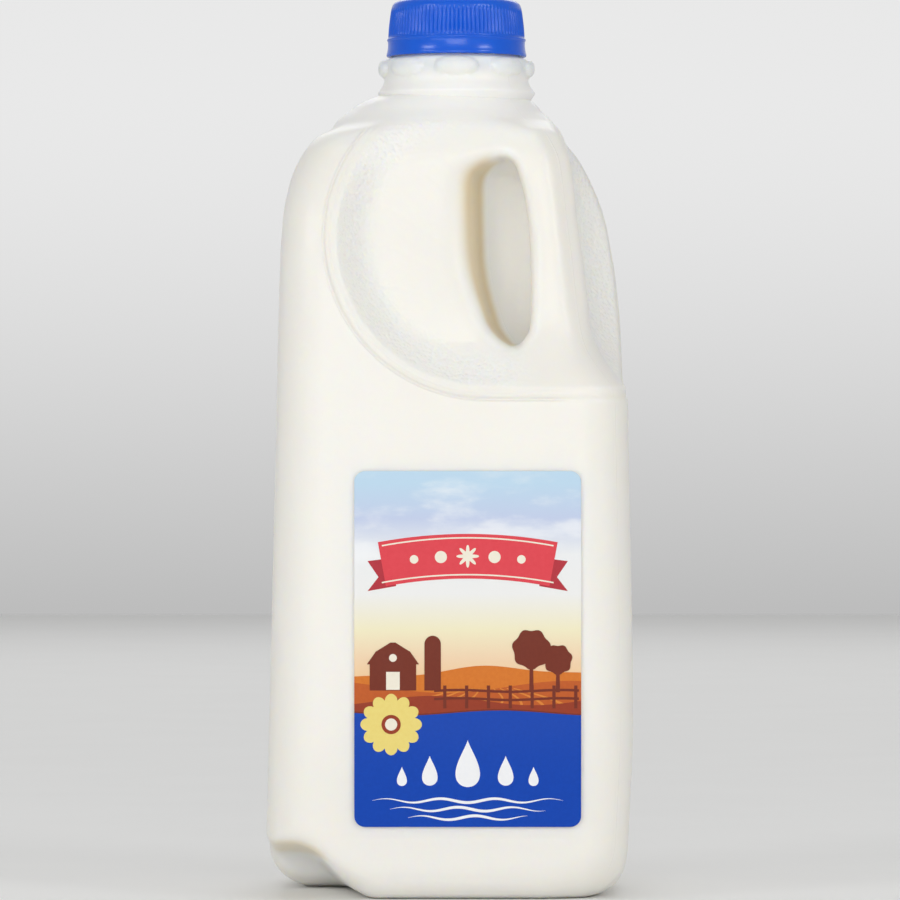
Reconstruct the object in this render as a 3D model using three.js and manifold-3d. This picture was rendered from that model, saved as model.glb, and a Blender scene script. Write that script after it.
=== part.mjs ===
// A half gallon plastic milk jug with a handle moulded into one corner, a ribbed cap and a label.
// Millimetres, +Z up. The label face looks along -Y and the handle is at the +X -Y corner.
// The jug is one surface, worked out from a signed field that is negative inside the plastic.
import * as THREE from 'three';
import { mergeVertices } from 'three/addons/utils/BufferGeometryUtils.js';
import Module from 'manifold-3d';

const wasm = await Module();
wasm.setup();

const GAP = 0.3;

// Half widths of the walls by height, as [height, half width].
// The jug is alike on both sides of the upright plane through the handle corner, so the label
// face and the right face share one wall, and the left face and the back face share the other.
const PLAIN_WALL = [[0, 52.8], [49.8, 51.5], [140.4, 49.4], [179, 48.5], [192.1, 47.7], [202.8, 45.6],
  [209.7, 42.6], [214.5, 39], [217.6, 34.4], [225.2, 18]];
const HANDLE_WALL = [[0, 48.8], [20.5, 49.9], [47.8, 51], [140.4, 49.6], [159.9, 49.3], [174.5, 48.2],
  [186, 46.6], [195, 44.6], [204.8, 40.6], [211.6, 36.6], [215.5, 33.2], [227.2, 20]];
const CORNER_RADIUS = 13.7;
const BASE_RADIUS = { atHandle: 9.8, farSide: 14, cornerExtra: 7 };
const SHOULDER_TOP = 218;

// The round grip recess, in the label face and the right face.
const GRIP = { across: 9.75, height: 186.2, radius: 46, floorBulge: 1.9 };
const GRIP_SLOPE = { short: 13.7, long: 23.4 };
const GRIP_FLOOR = [[127.8, 40.6], [157, 39.3], [178.4, 37.4], [190.2, 35.9], [201.8, 34.6], [208.7, 33.5],
  [213.5, 31.4], [218.9, 28.3], [227.2, 21]];

// The handle: the corner that the gap leaves standing.
const HANDLE_CHAMFER = 4.9;
const HANDLE_CORNER = 4.9;
const HANDLE_INSIDE = [[147.2, 16.6], [155, 19], [160.9, 22], [168.7, 22.5], [187.2, 21.9], [197, 20.7],
  [203.8, 19.1], [211.6, 16.1]];

// The gap behind the handle, an L that runs from the label face round to the right face.
const GAP_BOTTOM = 154.1;
const GAP_TOP = 209.2;
const GAP_SEAM = [[153.1, 16.4], [163.8, 12.6], [176.5, 9.46], [182.3, 8.87], [203.8, 8.48], [211.6, 11.7]];
const GAP_WALL_TILT = THREE.MathUtils.degToRad(10);
const GAP_VALLEY_RADIUS = 6.8;
const GAP_END_RADIUS = 8.8;
const GAP_EDGE = { body: 9, handle: 4.5 };

// The cone between the shoulder and the neck, as [radius, height].
const CONE = [[0, 228.8], [19.5, 228.2], [24.3, 226.7], [27.6, 225], [29.9, 223.2], [33, 220.6],
  [35.2, 217.1], [39.5, 204.8]];
const CONE_DRAWN_IN = 5.4;
const CONE_FOOT = 208;
const CONE_BLEND = { crease: 1.5, soft: 6.5 };

// The finger scoop at the foot of each corner beside the handle corner.
const SCOOP = { width: 27, depth: 43, height: 16.4, shelf: 12.2, draft: 0.14, bulge: 12 };
const SCOOP_EDGE = { low: 7, high: 4.5 };
const BASE_RECESS = { half: 30.2, depth: 2.3, radius: 17.6 };

// The neck and the cap stand a little off the middle, towards the handle.
const NECK_AXIS = { x: 1.3, y: -1.3 };
const NECK_SIDES = 40;
const LUG = { count: 8, halfAngle: 17, height: 235.8, halfHeight: 2.15, halfDepth: 3.2, reach: 22.4 };
const CAP_RIBS = 36;
const RIB_DEPTH = 0.45;

const LABEL = { left: -27.3, right: 36.1, bottom: 20.8, top: 120.3, corner: 3, thickness: 0.35 };

const COLOURS = { plastic: '#efede3', blue: '#2f63d8', label: '#a9b6e4' };

// Cubic through [at, value] pairs that never overshoots them, and runs straight on past both ends.
function curve(points) {
  const slopes = [];
  for (let i = 0; i + 1 < points.length; i += 1) {
    slopes.push((points[i + 1][1] - points[i][1]) / (points[i + 1][0] - points[i][0]));
  }
  const tangents = points.map((point, i) => {
    const before = slopes[Math.max(i - 1, 0)];
    const after = slopes[Math.min(i, slopes.length - 1)];
    return before * after <= 0 ? 0 : (2 * before * after) / (before + after);
  });
  const last = points.length - 1;
  return (at) => {
    if (at <= points[0][0]) return points[0][1] + tangents[0] * (at - points[0][0]);
    if (at >= points[last][0]) return points[last][1] + tangents[last] * (at - points[last][0]);
    let i = 0;
    while (at > points[i + 1][0]) i += 1;
    const step = points[i + 1][0] - points[i][0];
    const t = (at - points[i][0]) / step;
    const value = points[i][1] * (1 + 2 * t) * (1 - t) ** 2 + points[i + 1][1] * t * t * (3 - 2 * t);
    return value + step * (tangents[i] * t * (1 - t) ** 2 - tangents[i + 1] * t * t * (1 - t));
  };
}

const plainWall = curve(PLAIN_WALL);
const handleWall = curve(HANDLE_WALL);
const gripFloor = curve(GRIP_FLOOR);
const handleInside = curve(HANDLE_INSIDE);
const gapSeam = curve(GAP_SEAM);
const coneHeight = curve(CONE);

const { clamp, lerp, smoothstep } = THREE.MathUtils;

// The edge where two fields meet, rounded to a true radius.
function roundMax(a, b, radius) {
  return Math.min(Math.max(a, b), -radius) + Math.hypot(Math.max(a + radius, 0), Math.max(b + radius, 0));
}

function softMax(a, b, reach) {
  const near = Math.max(reach - Math.abs(a - b), 0) / reach;
  return Math.max(a, b) + near * near * reach * 0.25;
}

function softMin(a, b, reach) {
  return -softMax(-a, -b, reach);
}

// Half width of the label face at one place, with the grip recess pressed into it.
function gripWall(across, z) {
  const wall = handleWall(z);
  const side = across - GRIP.across;
  const inward = GRIP.radius - Math.hypot(Math.min(side, 0), z - GRIP.height);
  const slope = lerp(GRIP_SLOPE.short, GRIP_SLOPE.long, smoothstep(across, -10, 30));
  const press = Math.sin(clamp(inward / slope, 0, 1) * Math.PI / 2);
  const bowl = GRIP.floorBulge * smoothstep(inward, slope, GRIP.radius) * (1 - smoothstep(across, 14, 30));
  return lerp(wall, Math.min(gripFloor(z), wall), press) - bowl;
}

function wallField(x, y, z) {
  const left = -x - plainWall(z);
  const back = y - plainWall(z);
  const front = -y - gripWall(x, z);
  const right = x - gripWall(-y, z);
  const inGrip = smoothstep(z, 147, 169);
  const atHandle = inGrip * smoothstep(x - y, 20, 50);
  const radius = lerp(CORNER_RADIUS, HANDLE_CORNER, atHandle);
  const corners = roundMax(Math.max(left, right), Math.max(front, back), radius);
  const facet = (x - y) * Math.SQRT1_2 - gripFloor(z) * Math.SQRT2 + HANDLE_CHAMFER;
  return lerp(corners, softMax(corners, facet, 3), inGrip);
}

// Adds the cone to the shoulder. On the handle side it is drawn in and runs softly down into the
// recesses and the handle, and on the other side it meets the shoulder in a crease.
function withCone(field, x, y, z) {
  const radius = Math.hypot(x, y);
  const towardsHandle = radius > 0 ? (x - y) * Math.SQRT1_2 / radius : 0;
  const drawnIn = CONE_DRAWN_IN * smoothstep(towardsHandle, -0.6, 0.9) * smoothstep(radius, 18, 30);
  const at = radius + drawnIn;
  const fall = coneHeight(at + 0.5) - coneHeight(at - 0.5);
  const cone = softMax((z - coneHeight(at)) / Math.hypot(1, fall), CONE_FOOT - z, 10);
  return softMin(field, cone, lerp(CONE_BLEND.crease, CONE_BLEND.soft, smoothstep(towardsHandle, -0.6, 0.4)));
}

// The L shaped space between the valley wall and the inside of the handle.
function gapField(x, y, z) {
  const seam = gapSeam(z);
  const tilt = Math.tan(GAP_WALL_TILT);
  const near = (seam - (-y - seam) * tilt - x) * Math.cos(GAP_WALL_TILT);
  const far = (seam - (x - seam) * tilt + y) * Math.cos(GAP_WALL_TILT);
  const valley = roundMax(near, far, GAP_VALLEY_RADIUS);
  const inside = handleInside(z);
  const handle = roundMax(inside - x, y + inside, HANDLE_CORNER);
  const ends = Math.abs(z - (GAP_BOTTOM + GAP_TOP) / 2) - (GAP_TOP - GAP_BOTTOM) / 2;
  return roundMax(roundMax(valley, ends, GAP_END_RADIUS), -handle, 3);
}

// One finger scoop, cut into the foot of the front left corner. Its level roof turns down at 45
// degrees to the left wall, it narrows and lowers a little on its way in, and its back wall bulges.
function scoopField(x, y, z) {
  const fromLeft = x + PLAIN_WALL[0][1];
  const fromFront = y + HANDLE_WALL[0][1];
  const narrowing = Math.max(fromFront, 0) * SCOOP.draft;
  const roof = z - SCOOP.height + narrowing;
  const slant = (roof + fromLeft - SCOOP.shelf) * Math.SQRT1_2;
  const side = fromLeft - SCOOP.width + narrowing;
  const below = clamp(SCOOP.bulge - z, 0, SCOOP.bulge);
  const under = SCOOP.bulge - Math.sqrt(SCOOP.bulge ** 2 - below ** 2);
  return softMax(softMax(softMax(roof, slant, 4), side, 3), fromFront - SCOOP.depth - under, 6);
}

function jugField(x, y, z) {
  const atCorner = smoothstep(Math.min(Math.abs(x), Math.abs(y)), 22, 48);
  const radius = lerp(BASE_RADIUS.atHandle, BASE_RADIUS.farSide, smoothstep(y - x, -20, 30));
  let field = roundMax(wallField(x, y, z), -z, radius + BASE_RADIUS.cornerExtra * atCorner);
  field = softMax(field, z - SHOULDER_TOP, 3);
  field = withCone(field, x, y, z);
  const gapEdge = lerp(GAP_EDGE.body, GAP_EDGE.handle, smoothstep((x - y) / 2, 12, 24));
  field = softMax(field, -gapField(x, y, z), gapEdge);
  const scoopEdge = lerp(SCOOP_EDGE.low, SCOOP_EDGE.high, smoothstep(z, 0, SCOOP.bulge));
  field = softMax(field, -scoopField(x, y, z), scoopEdge);
  field = softMax(field, -scoopField(-y, -x, z), scoopEdge);
  const recess = roundMax(Math.abs(x), Math.abs(y), BASE_RECESS.radius) - BASE_RECESS.half;
  return softMax(field, -softMax(recess, z - BASE_RECESS.depth, 4), 4);
}

// Grid lines, close together where the shape turns and far apart on the plain walls.
function gridLines(stops) {
  const lines = [stops[0][0]];
  for (let i = 0; i + 1 < stops.length; i += 1) {
    const [from, step] = stops[i];
    const to = stops[i + 1][0];
    const count = Math.max(1, Math.round((to - from) / step));
    for (let k = 1; k <= count; k += 1) lines.push(from + ((to - from) * k) / count);
  }
  return lines;
}

// Moves a point onto the surface, without leaving its grid cell.
function pushToSurface(field, point, cell) {
  const reach = 0.05;
  for (let round = 0; round < 4; round += 1) {
    const value = field(point.x, point.y, point.z);
    const slope = new THREE.Vector3(
      field(point.x + reach, point.y, point.z) - field(point.x - reach, point.y, point.z),
      field(point.x, point.y + reach, point.z) - field(point.x, point.y - reach, point.z),
      field(point.x, point.y, point.z + reach) - field(point.x, point.y, point.z - reach),
    ).divideScalar(2 * reach);
    const steep = Math.max(slope.lengthSq(), 0.2);
    point.addScaledVector(slope, clamp(-value / steep, -1.5, 1.5));
    cell.clampPoint(point, point);
  }
  return point;
}

// A closed mesh of the field's zero surface: one vertex in each grid cell that the surface
// crosses, and one quad across each grid edge that it crosses.
function surfaceOf(field, xs, ys, zs) {
  const [nx, ny, nz] = [xs.length, ys.length, zs.length];
  const at = (i, j, k) => (k * ny + j) * nx + i;
  const values = new Float64Array(nx * ny * nz);
  for (let k = 0; k < nz; k += 1) {
    for (let j = 0; j < ny; j += 1) {
      for (let i = 0; i < nx; i += 1) values[at(i, j, k)] = field(xs[i], ys[j], zs[k]);
    }
  }
  const positions = [];
  const vertexOf = new Map();
  for (let k = 0; k + 1 < nz; k += 1) {
    for (let j = 0; j + 1 < ny; j += 1) {
      for (let i = 0; i + 1 < nx; i += 1) {
        const sum = new THREE.Vector3();
        let crossings = 0;
        const corner = (n) => [i + (n & 1), j + ((n >> 1) & 1), k + ((n >> 2) & 1)];
        for (let n = 0; n < 8; n += 1) {
          for (const bit of [1, 2, 4]) {
            if (n & bit) continue;
            const [a, b] = [corner(n), corner(n | bit)];
            const [va, vb] = [values[at(...a)], values[at(...b)]];
            if ((va < 0) === (vb < 0)) continue;
            const t = va / (va - vb);
            sum.x += lerp(xs[a[0]], xs[b[0]], t);
            sum.y += lerp(ys[a[1]], ys[b[1]], t);
            sum.z += lerp(zs[a[2]], zs[b[2]], t);
            crossings += 1;
          }
        }
        if (crossings === 0) continue;
        const box = new THREE.Box3(
          new THREE.Vector3(xs[i], ys[j], zs[k]),
          new THREE.Vector3(xs[i + 1], ys[j + 1], zs[k + 1]),
        ).expandByScalar(-0.2);
        const point = pushToSurface(field, sum.divideScalar(crossings), box);
        vertexOf.set(at(i, j, k), positions.length / 3);
        positions.push(point.x, point.y, Math.abs(point.z) < 0.02 ? 0 : point.z);
      }
    }
  }
  const index = [];
  const quad = (a, b, c, d, flip) => {
    const loop = flip ? [a, d, c, b] : [a, b, c, d];
    const place = (n) => new THREE.Vector3().fromArray(positions, loop[n] * 3);
    const [p, q, r, s] = [0, 1, 2, 3].map(place);
    if (p.distanceToSquared(r) < q.distanceToSquared(s)) {
      index.push(loop[0], loop[1], loop[2], loop[0], loop[2], loop[3]);
    } else {
      index.push(loop[1], loop[2], loop[3], loop[1], loop[3], loop[0]);
    }
  };
  for (let k = 1; k + 1 < nz; k += 1) {
    for (let j = 1; j + 1 < ny; j += 1) {
      for (let i = 1; i + 1 < nx; i += 1) {
        const inside = values[at(i, j, k)] < 0;
        const cell = (di, dj, dk) => vertexOf.get(at(i - di, j - dj, k - dk));
        if (inside !== values[at(i + 1, j, k)] < 0) {
          quad(cell(0, 1, 1), cell(0, 0, 1), cell(0, 0, 0), cell(0, 1, 0), !inside);
        }
        if (inside !== values[at(i, j + 1, k)] < 0) {
          quad(cell(1, 0, 1), cell(1, 0, 0), cell(0, 0, 0), cell(0, 0, 1), !inside);
        }
        if (inside !== values[at(i, j, k + 1)] < 0) {
          quad(cell(1, 1, 0), cell(0, 1, 0), cell(0, 0, 0), cell(1, 0, 0), !inside);
        }
      }
    }
  }
  const geometry = new THREE.BufferGeometry();
  geometry.setAttribute('position', new THREE.Float32BufferAttribute(positions, 3));
  geometry.setIndex(index);
  return geometry;
}

function solidOf(geometry) {
  const bare = geometry.clone();
  bare.deleteAttribute('normal');
  bare.deleteAttribute('uv');
  const merged = mergeVertices(bare, 1e-4);
  return new wasm.Manifold(new wasm.Mesh({
    numProp: 3,
    vertProperties: new Float32Array(merged.attributes.position.array),
    triVerts: new Uint32Array(merged.index.array),
  }));
}

function geometryOf(solid) {
  const mesh = solid.getMesh();
  const geometry = new THREE.BufferGeometry();
  geometry.setAttribute('position', new THREE.BufferAttribute(mesh.vertProperties, 3));
  geometry.setIndex(new THREE.BufferAttribute(mesh.triVerts, 1));
  geometry.computeVertexNormals();
  return geometry;
}

// A lathe turned from a profile of [radius, height] pairs, stood upright on +Z.
function turned(profile, sides) {
  const points = profile.map(([radius, height]) => new THREE.Vector2(radius, height));
  return new THREE.LatheGeometry(points, sides).rotateX(Math.PI / 2);
}

function makeNeck() {
  const neck = turned([
    [0, 221.3], [21, 221.3], [21.8, 227.1], [22.6, 227.9], [21.9, 228.3], [22.7, 228.8],
    [21.4, 229.2], [20.6, 230.7], [20.6, 237.9], [19.9, 238.6], [18.3, 239], [18.3, 243.9],
    [17.2, 244.3], [17.2, 251.8], [0, 251.8],
  ], NECK_SIDES);
  let solid = solidOf(neck);
  for (let n = 0; n < LUG.count; n += 1) {
    const lug = new THREE.SphereGeometry(1, 8, 6);
    const halfWidth = LUG.reach * Math.sin(THREE.MathUtils.degToRad(LUG.halfAngle));
    lug.scale(LUG.halfDepth, halfWidth, LUG.halfHeight);
    lug.translate(LUG.reach - LUG.halfDepth, 0, LUG.height);
    lug.rotateZ((n * 2 * Math.PI) / LUG.count + Math.PI / 2);
    solid = solid.add(solidOf(lug));
  }
  return solid;
}

function makeJug() {
  const sideways = gridLines([[-57, 4.4], [-30, 5.4], [4, 4.1], [57, 1]]);
  const mirrored = sideways.map((value) => -value).reverse();
  const upright = gridLines([[-4.5, 3], [19.5, 11.5], [135, 4.3], [233, 1]]);
  const shell = surfaceOf(jugField, sideways, mirrored, upright);
  const neck = makeNeck().translate([NECK_AXIS.x, NECK_AXIS.y, 0]);
  return geometryOf(solidOf(shell).add(neck));
}

// The cap: a ribbed cup, with the tamper band moulded on below it.
function makeCap() {
  const outside = [
    [19.9, 239.1], [20.1, 239.6], [19.75, 241.4], [19.7, 243.6], [19.85, 244.2],
    [19.4, 244.5], [19.5, 245.2], [18.8, 252.6], [18.4, 254], [17.4, 255.1], [7.4, 255.3],
    [6.8, 256.1],
  ];
  const inside = [[6.3, 252.2], [17.5, 252.2], [17.5, 244.6], [18.6, 244.3], [18.6, 239.1]];
  const ribbed = (height) => height > 245 && height < 253.5;
  const rings = [...outside, ...inside];
  const sides = CAP_RIBS * 2;
  const positions = [];
  rings.forEach(([radius, height], ring) => {
    for (let n = 0; n < sides; n += 1) {
      const cut = ring < outside.length && n % 2 === 1 && ribbed(height) ? RIB_DEPTH : 0;
      const turn = ((n + 0.5) * 2 * Math.PI) / sides;
      positions.push((radius - cut) * Math.cos(turn), (radius - cut) * Math.sin(turn), height);
    }
  });
  const index = [];
  for (let ring = 0; ring < rings.length; ring += 1) {
    const above = (ring + 1) % rings.length;
    if (ring === outside.length - 1) continue;
    for (let n = 0; n < sides; n += 1) {
      const next = (n + 1) % sides;
      const [a, b] = [ring * sides + n, ring * sides + next];
      const [c, d] = [above * sides + next, above * sides + n];
      index.push(a, b, c, a, c, d);
    }
  }
  const closeDisc = (ring, height, facesUp) => {
    const centre = positions.length / 3;
    positions.push(0, 0, height);
    for (let n = 0; n < sides; n += 1) {
      const [a, b] = [ring * sides + n, ring * sides + ((n + 1) % sides)];
      index.push(...(facesUp ? [a, b, centre] : [b, a, centre]));
    }
  };
  closeDisc(outside.length - 1, outside.at(-1)[1], true);
  closeDisc(outside.length, inside[0][1], false);
  const geometry = new THREE.BufferGeometry();
  geometry.setAttribute('position', new THREE.Float32BufferAttribute(positions, 3));
  geometry.setIndex(index);
  geometry.computeVertexNormals();
  return geometry;
}

// The label: a thin sheet with round corners, bent to the label face and standing just off it.
function makeLabel() {
  const cornerSteps = 4;
  const heights = [];
  for (let n = 0; n <= cornerSteps; n += 1) {
    heights.push(LABEL.bottom + LABEL.corner * (1 - Math.cos((n / cornerSteps) * Math.PI / 2)));
  }
  const rows = 10;
  for (let n = 1; n < rows; n += 1) {
    heights.push(lerp(LABEL.bottom + LABEL.corner, LABEL.top - LABEL.corner, n / rows));
  }
  for (let n = 0; n <= cornerSteps; n += 1) {
    heights.push(LABEL.top - LABEL.corner * (1 - Math.sin((n / cornerSteps) * Math.PI / 2)));
  }
  const positions = [];
  heights.forEach((height) => {
    const past = Math.max(LABEL.bottom + LABEL.corner - height, height - LABEL.top + LABEL.corner, 0);
    const inset = LABEL.corner - Math.sqrt(Math.max(LABEL.corner ** 2 - past ** 2, 0));
    const near = -handleWall(height) - GAP;
    const [left, right] = [LABEL.left + inset, LABEL.right - inset];
    positions.push(left, near, height, right, near, height);
    positions.push(right, near - LABEL.thickness, height, left, near - LABEL.thickness, height);
  });
  const index = [];
  for (let row = 0; row + 1 < heights.length; row += 1) {
    for (let n = 0; n < 4; n += 1) {
      const next = (n + 1) % 4;
      const [a, b, c, d] = [row * 4 + n, row * 4 + next, row * 4 + 4 + next, row * 4 + 4 + n];
      index.push(a, c, b, a, d, c);
    }
  }
  const top = (heights.length - 1) * 4;
  index.push(0, 1, 2, 0, 2, 3, top, top + 2, top + 1, top, top + 3, top + 2);
  const geometry = new THREE.BufferGeometry();
  geometry.setAttribute('position', new THREE.Float32BufferAttribute(positions, 3));
  geometry.setIndex(index);
  geometry.computeVertexNormals();
  return geometry;
}

function piece(name, geometry, colour, roughness) {
  const material = new THREE.MeshStandardMaterial({ color: colour, roughness, metalness: 0 });
  const mesh = new THREE.Mesh(geometry, material);
  mesh.name = name;
  return mesh;
}

const group = new THREE.Group();
group.add(piece('jug', makeJug(), COLOURS.plastic, 0.45));
const cap = piece('cap', makeCap(), COLOURS.blue, 0.35);
cap.position.set(NECK_AXIS.x, NECK_AXIS.y, 0);
group.add(cap);
group.add(piece('label', makeLabel(), COLOURS.label, 0.5));

export default group;
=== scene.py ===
# A half gallon plastic milk jug with a corner handle, a ribbed blue cap and a printed label.
# Sizes are in millimetres, as in the model's source, and become metres when a mesh is made.
import math

import bmesh
import bpy
import numpy as np
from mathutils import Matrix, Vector


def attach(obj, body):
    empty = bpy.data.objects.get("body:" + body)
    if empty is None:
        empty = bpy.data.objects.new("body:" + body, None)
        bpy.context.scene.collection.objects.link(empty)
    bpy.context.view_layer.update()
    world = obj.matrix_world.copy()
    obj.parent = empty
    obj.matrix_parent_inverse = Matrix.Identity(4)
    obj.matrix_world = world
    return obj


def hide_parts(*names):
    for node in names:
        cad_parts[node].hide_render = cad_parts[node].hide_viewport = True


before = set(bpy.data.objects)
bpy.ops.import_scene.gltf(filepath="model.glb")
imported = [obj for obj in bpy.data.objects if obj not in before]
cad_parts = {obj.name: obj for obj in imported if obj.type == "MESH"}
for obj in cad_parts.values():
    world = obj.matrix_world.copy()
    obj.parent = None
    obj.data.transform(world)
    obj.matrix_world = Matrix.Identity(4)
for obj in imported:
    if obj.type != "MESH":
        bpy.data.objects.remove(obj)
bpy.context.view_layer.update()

MM = 0.001
# How far the label's film stands off the jug's wall.
GAP = 0.3

# Half widths of the walls by height, as (height, half width). The jug is alike on both sides of the
# upright plane through the handle corner, so the label face and the right face share one wall.
PLAIN_WALL = [(0, 52.8), (49.8, 51.5), (140.4, 49.4), (179, 48.5), (192.1, 47.7), (202.8, 45.6),
              (209.7, 42.6), (214.5, 39), (217.6, 34.4), (225.2, 18)]
HANDLE_WALL = [(0, 48.8), (20.5, 49.9), (47.8, 51), (140.4, 49.6), (159.9, 49.3), (174.5, 48.2),
               (186, 46.6), (195, 44.6), (204.8, 40.6), (211.6, 36.6), (215.5, 33.2), (227.2, 20)]
CORNER_RADIUS = 13.7
BASE_RADIUS = 9.8
BASE_RADIUS_PLAIN = 14
BASE_CORNER_EXTRA = 7
SHOULDER_TOP = 218

# The round grip recess, in the label face and the right face.
GRIP_ACROSS = 9.75
GRIP_HEIGHT = 186.2
GRIP_RADIUS = 46
GRIP_BULGE = 1.9
GRIP_SLOPE_SHORT = 13.7
GRIP_SLOPE_LONG = 23.4
GRIP_FLOOR = [(127.8, 40.6), (157, 39.3), (178.4, 37.4), (190.2, 35.9), (201.8, 34.6), (208.7, 33.5),
              (213.5, 31.4), (218.9, 28.3), (227.2, 21)]
# The recess has a flat rim just below the face, with fine beads along it, given as (how far inside
# the outline, half width, height), and a pebbled band where it slopes to its floor.
RIM_WIDTH = 3.6
RIM_DROP = 0.55
RIM_STEP = 1.3
RIM_BEADS = [(0.2, 0.75, 0.3), (2.2, 0.7, 0.12)]
PEBBLE_SIZE = 1.15
PEBBLE_DEPTH = 0.34
# The mould's seam, up the corner of the handle and the corner across from it.
SEAM_WIDTH = 0.55
SEAM_DEPTH = 0.07

# The handle, and the gap behind it, which runs from the label face round to the right face.
HANDLE_CHAMFER = 4.9
HANDLE_CORNER = 4.9
HANDLE_INSIDE = [(147.2, 16.6), (155, 19), (160.9, 22), (168.7, 22.5), (187.2, 21.9), (197, 20.7),
                 (203.8, 19.1), (211.6, 16.1)]
GAP_BOTTOM = 154.1
GAP_TOP = 209.2
GAP_SEAM = [(153.1, 16.4), (163.8, 12.6), (176.5, 9.46), (182.3, 8.87), (203.8, 8.48), (211.6, 11.7)]
GAP_WALL_TILT = math.radians(10)
GAP_VALLEY_RADIUS = 6.8
GAP_END_RADIUS = 8.8

# The cone between the shoulder and the neck, as (radius, height).
CONE = [(0, 228.8), (19.5, 228.2), (24.3, 226.7), (27.6, 225), (29.9, 223.2), (33, 220.6),
        (35.2, 217.1), (39.5, 204.8)]
CONE_DRAWN_IN = 5.4
CONE_FOOT = 208

# The two finger scoops at the foot, and the recess of the base.
SCOOP_WIDTH = 27
SCOOP_DEPTH = 43
SCOOP_HEIGHT = 16.4
SCOOP_SHELF = 12.2
SCOOP_DRAFT = 0.14
SCOOP_BULGE = 12
SCOOP_EDGE = 4.5
SCOOP_EDGE_LOW = 7
RECESS_HALF = 30.2
RECESS_DEPTH = 2.3
RECESS_RADIUS = 17.6

# The label, on the face beside the handle, and the steps between the layers of its print.
LABEL_LEFT = -27.3
LABEL_RIGHT = 36.1
LABEL_BOTTOM = 20.8
LABEL_TOP = 120.3
LABEL_CORNER = 3
LABEL_THICKNESS = 0.35
PRINT_STEP = 0.02
PRINT_LIFT = 0.0004
BAND_TOP = 52.7
BARN_LEFT = -23
RIBBON_MIDDLE = 4.4
RIBBON_HEIGHT = 96.5
RIBBON_HALF = 24
RIBBON_TALL = 12.5
DAISY_X = -17
DAISY_Z = 49.5
DAISY_SIZE = 8.6
# The picture on the label: places across and up its face.
FIELD_FOOT = 50
FURROW_COUNT = 9
FURROW_FOOT = 53.5
FURROW_HEAD = 59.6
BARN_FOOT = 59
SILO_HALF = 2.3
TREE_FOOT = 58.5
FENCE_FOOT = 54
FENCE_TOP = 60.4
FENCE_POSTS = 7
FENCE_SPACING = 6.1
FENCE_RAILS = (56.6, 58.9)
WAVE_COUNT = 3
# Trees and drops, as (across, height, size).
TREES = [(22.2, 70.5, 5.2), (29.6, 67.6, 3.9)]
DROPS = [(4.4, 38.6, 6.6), (-6.2, 36.6, 4.2), (15, 36.6, 4.2), (-14, 35, 2.7), (22.8, 35, 2.7)]
# How many rings of faces a filled round shape has.
DISC_RINGS = 3

# The neck stands a little off the middle, towards the handle.
NECK_AXIS = (1.3, -1.3)
LUG_COUNT = 8
LUG_HALF_ANGLE = math.radians(18)
LUG_HALF_HEIGHT = 2.6
LUG_HEIGHT = 235.7
LUG_REACH = 22.5
LUG_ROUNDNESS = 2.1
CAP_RIBS = 96
CAP_RIB_DEPTH = 0.4
CAP_RIB_SIDES = 6
NECK_SIDES = 240
# Outlines of the neck and the cap, as (radius, height) about the neck's axis.
NECK_PROFILE = [
    (20.6, 220), (20.9, 226), (21.8, 227.3), (22.7, 228.6), (22.2, 229.3), (21.3, 230.5),
    (20.7, 231.9), (20.6, 234), (20.6, 237.4), (20.2, 238.3), (18.9, 238.7), (18.3, 239.4),
    (18.3, 243.6), (17.2, 244.1), (17.2, 251.6),
]
CAP_OUTSIDE = [
    (18.6, 239.2), (19.9, 239.05), (20.2, 239.5), (19.85, 240.7), (19.7, 242.2), (19.72, 243.5),
    (19.95, 243.8), (19.95, 244.15), (19.55, 244.4), (19.6, 245), (19.45, 247.5), (18.85, 252.4),
    (18.35, 254.2), (17, 255.15), (14.6, 255.35), (8, 255.3), (7.2, 255.5), (6.7, 255.95),
    (5.8, 256.1),
]
CAP_INSIDE = [(6, 252.2), (16.9, 252.2), (17.5, 251.6), (17.5, 244.7), (18.6, 244.2), (18.6, 239.2)]
# Above this level the plastic has no milk behind it.
MILK_LEVEL = 233.8
# Lines of the grid that the jug's surface is found on, as (start, step) pairs: close together
# where the recesses, the handle and the scoops are.
GRID_SIDEWAYS = [(-55, 1.3), (-39, 0.9), (12, 1.3), (55, 1)]
GRID_UPRIGHT = [(-2.7, 1.25), (21.6, 3.2), (135, 0.9), (191, 1.15), (232, 1)]
# How points are moved on to the surface: how often, how far at most in a field's own units, the
# reach over which its slope is measured, and the share of a grid cell kept free along its walls.
SURFACE_ROUNDS = 5
LONGEST_PUSH = 0.6
SLOPE_REACH = 0.03
CELL_MARGIN = 0.04

# Light from the room all round, and what a pale wall far off in front and behind adds to it. The
# wall fades in between two heights, as shares of the distance, and fades out to both sides.
ROOM_LIGHT = 0.4
WALL_LIGHT = 0.42
WALL_FOOT = -0.068
WALL_FULL = 0.06
WALL_NARROWING = 4

# Area lights, as (name, place, what it points at, width and height, watts), in metres.
JUG_MIDDLE = (0, 0, 0.12)
LIGHTS = [
    ("key_left", (-1.7, -1.5, 1.1), JUG_MIDDLE, (0.8, 0.4), 7.5),
    ("fill_right", (1.7, -1.5, 1.1), JUG_MIDDLE, (0.8, 0.4), 8),
    ("low_left", (-1.1, -1.9, 0.12), (-0.04, -0.04, 0.03), (0.9, 0.2), 1.5),
    ("front", (0, -2.4, 0.42), JUG_MIDDLE, (1.3, 0.8), 10.5),
    ("overhead", (0, 0.2, 2.2), JUG_MIDDLE, (2, 2), 5),
    ("back", (0, 2.3, 1.4), JUG_MIDDLE, (1.6, 1), 6),
]
FLOOR_HALF = 3000
FLOOR_PAINT = [(0.91, 0.91, 0.90), (0.94, 0.94, 0.93)]

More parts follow.
